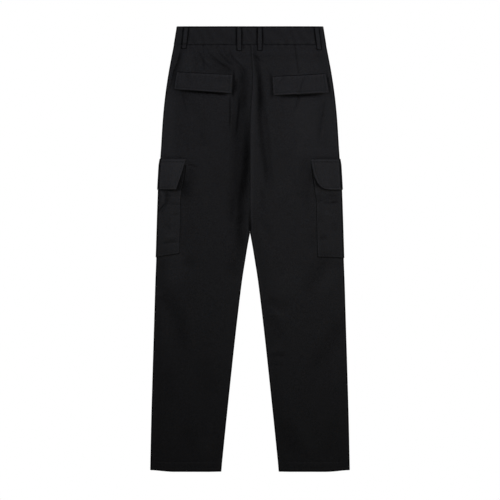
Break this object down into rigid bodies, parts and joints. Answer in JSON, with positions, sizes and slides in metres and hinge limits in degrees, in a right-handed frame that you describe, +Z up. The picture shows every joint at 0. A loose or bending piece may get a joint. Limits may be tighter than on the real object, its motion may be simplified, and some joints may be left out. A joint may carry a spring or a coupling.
{
  "type": "cargo pants",
  "caption": "Cotton twill cargo pants laid flat on their front, back up, with waistband, belt loops, back pocket flaps and flapped cargo pockets.",
  "frame": {"origin": "centre of the bounding box on the surface that the garment lies on", "axes": "+Y from the hems to the waistband, +X to the wearer's right (the back is up), +Z up from the surface"},
  "size_m": [0.4786, 1.0677, 0.0167],
  "materials": {
    "twill": "matte black cotton twill",
    "flap_twill": "matte black cotton twill, doubled",
    "button": "satin black plastic"
  },
  "bodies": {
    "root": {"front_left": "twill", "front_right": "twill", "back_left": "twill", "back_right": "twill", "waistband_back": "twill", "waistband_front_left": "twill", "waistband_front_right": "twill", "back_pocket_flap_left": "flap_twill", "back_pocket_flap_right": "flap_twill", "cargo_pocket_left": "twill", "cargo_pocket_right": "twill", "cargo_flap_left": "flap_twill", "cargo_flap_right": "flap_twill", "fly": "twill", "waist_button": "button", "belt_loop_back_left_side": "twill", "belt_loop_back_left": "twill", "belt_loop_back_right": "twill", "belt_loop_back_right_side": "twill", "belt_loop_front_left": "twill", "belt_loop_front_right": "twill"}
  },
  "joints": []
}
